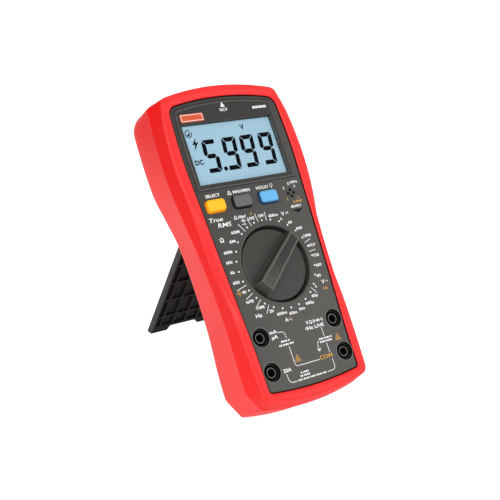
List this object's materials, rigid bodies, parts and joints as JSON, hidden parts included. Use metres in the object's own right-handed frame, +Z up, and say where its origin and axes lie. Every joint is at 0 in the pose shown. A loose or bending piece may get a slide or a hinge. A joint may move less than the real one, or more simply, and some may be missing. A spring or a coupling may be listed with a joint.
{
  "type": "handheld digital multimeter",
  "caption": "Handheld digital multimeter leaning back on its open tilt stand, with a rotary range selector, push buttons, a numeric display and shrouded test-lead sockets.",
  "frame": {"origin": "middle of the flat heel under the bottom edge of the case, on the table top", "axes": "+Z up from the table, +X to the right seen from the front, -Y towards the user; the front panel faces -Y and up, leaning back 39.5 degrees from upright"},
  "size_m": [0.0888, 0.139, 0.1612],
  "materials": {
    "front_case": "soft-touch red overmould, satin",
    "rear_case": "soft-touch red overmould, satin",
    "front_panel": "dark grey, fine texture",
    "display_bezel": "dark grey, fine texture",
    "display_window": "clear acrylic",
    "lcd_mask": "black printed film",
    "lcd_glass": "pale blue backlit liquid-crystal cell",
    "lcd_backlight": "milky light guide",
    "lcd_connector": "pink elastomer strip",
    "badge_plate": "orange, blank",
    "hfe_socket": "black",
    "hfe_contacts": "gilt",
    "ncv_lens": "smoked",
    "ncv_antenna": "copper foil",
    "main_pcb": "green solder resist",
    "pcb_screws": "zinc plated",
    "measurement_ic": "black moulded package",
    "crystal": "can",
    "ptc_thermistor": "coated disc",
    "varistors": "blue coated discs",
    "filter_capacitor": "sleeved can",
    "current_shunt": "bare resistance wire",
    "fuse_ma": "ceramic with end caps",
    "fuse_20a": "ceramic with end caps",
    "fuse_clips": "tinned",
    "buzzer": "piezo disc",
    "jack_shrouds": "black",
    "jack_sleeves": "grey insulated sleeve with a tinned lining",
    "knob": "dark grey, fine texture",
    "knob_inlay": "dark grey, lighter",
    "switch_rotor": "natural acetal",
    "rotor_contacts": "phosphor bronze",
    "detent_balls": "polished steel",
    "detent_springs": "spring steel",
    "rotor_clip": "spring steel",
    "button_select": "yellow, satin",
    "button_maxmin": "grey, satin",
    "button_hold": "blue, satin",
    "keypad": "translucent silicone",
    "batteries": "sleeved cells",
    "battery_contacts": "nickel plated",
    "battery_door": "black, fine texture",
    "battery_door_screw": "zinc plated",
    "case_screws": "zinc plated",
    "tilt_stand": "black, fine texture",
    "stand_pins": "bright steel"
  },
  "bodies": {
    "meter": {"front_case": "front_case", "rear_case": "rear_case", "front_panel": "front_panel", "display_bezel": "display_bezel", "display_window": "display_window", "lcd_mask": "lcd_mask", "lcd_glass": "lcd_glass", "lcd_backlight": "lcd_backlight", "lcd_connector": "lcd_connector", "badge_plate": "badge_plate", "hfe_socket": "hfe_socket", "hfe_contacts": "hfe_contacts", "ncv_lens": "ncv_lens", "ncv_antenna": "ncv_antenna", "main_pcb": "main_pcb", "pcb_screws": "pcb_screws", "measurement_ic": "measurement_ic", "crystal": "crystal", "ptc_thermistor": "ptc_thermistor", "varistors": "varistors", "filter_capacitor": "filter_capacitor", "current_shunt": "current_shunt", "fuse_ma": "fuse_ma", "fuse_20a": "fuse_20a", "fuse_clips": "fuse_clips", "buzzer": "buzzer", "jack_shrouds": "jack_shrouds", "jack_sleeves": "jack_sleeves", "keypad": "keypad", "batteries": "batteries", "battery_contacts": "battery_contacts", "battery_door": "battery_door", "battery_door_screw": "battery_door_screw", "case_screws": "case_screws"},
    "selector": {"knob": "knob", "knob_inlay": "knob_inlay", "switch_rotor": "switch_rotor", "rotor_contacts": "rotor_contacts", "detent_balls": "detent_balls", "detent_springs": "detent_springs", "rotor_clip": "rotor_clip"},
    "stand": {"tilt_stand": "tilt_stand", "stand_pins": "stand_pins"},
    "key_select": {"button_select": "button_select"},
    "key_maxmin": {"button_maxmin": "button_maxmin"},
    "key_hold": {"button_hold": "button_hold"}
  },
  "joints": [
    {"name": "selector_turn", "type": "hinge", "parent": "meter", "child": "selector", "pos_m": [0, 0.02003, 0.07885], "axis": [0, -0.7716, 0.6361], "continuous": true},
    {"name": "stand_hinge", "type": "hinge", "parent": "meter", "child": "stand", "pos_m": [0, 0.07264, 0.08615], "axis": [1, 0, 0], "range_deg": [-62.5, 0]},
    {"name": "key_select_press", "type": "slide", "parent": "meter", "child": "key_select", "axis": [0, 0.7716, -0.6361], "range_m": [0, 0.001], "stiffness_N_per_m": 200, "springref_m": -0.0005},
    {"name": "key_maxmin_press", "type": "slide", "parent": "meter", "child": "key_maxmin", "axis": [0, 0.7716, -0.6361], "range_m": [0, 0.001], "stiffness_N_per_m": 200, "springref_m": -0.0005},
    {"name": "key_hold_press", "type": "slide", "parent": "meter", "child": "key_hold", "axis": [0, 0.7716, -0.6361], "range_m": [0, 0.001], "stiffness_N_per_m": 200, "springref_m": -0.0005}
  ]
}
